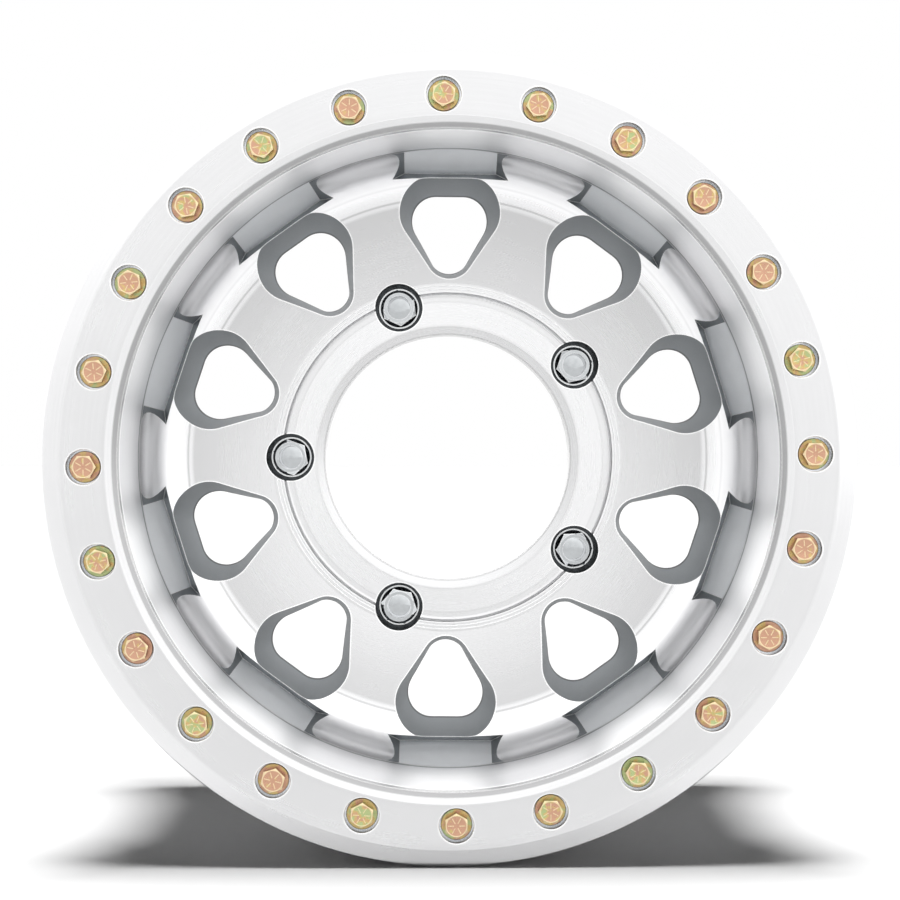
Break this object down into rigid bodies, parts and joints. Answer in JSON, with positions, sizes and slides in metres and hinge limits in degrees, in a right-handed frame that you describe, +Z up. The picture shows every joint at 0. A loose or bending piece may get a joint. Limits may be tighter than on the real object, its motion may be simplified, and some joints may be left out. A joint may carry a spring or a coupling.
{
  "type": "beadlock wheel",
  "caption": "Machined aluminium beadlock wheel with a deep dish, spokes with cast windows, a bolted clamp ring and closed lug nuts",
  "frame": {"origin": "the wheel's centre: on the spin axis, half way along the overall width", "axes": "+Y is the spin axis and points to the brake side, -Y is the open front with the beadlock ring, +Z is up"},
  "size_m": [0.472, 0.254, 0.472],
  "materials": {
    "wheel_aluminium": "turned and clear coated, as cast in the windows and pockets",
    "ring_aluminium": "turned and clear coated",
    "bolt_zinc": "yellow zinc plated",
    "washer_zinc": "yellow zinc plated",
    "nut_chrome": "bright chrome"
  },
  "bodies": {
    "root": {"wheel_casting": "wheel_aluminium", "beadlock_ring": "ring_aluminium", "ring_bolts": "bolt_zinc", "ring_washers": "washer_zinc", "lug_nuts": "nut_chrome"}
  },
  "joints": []
}
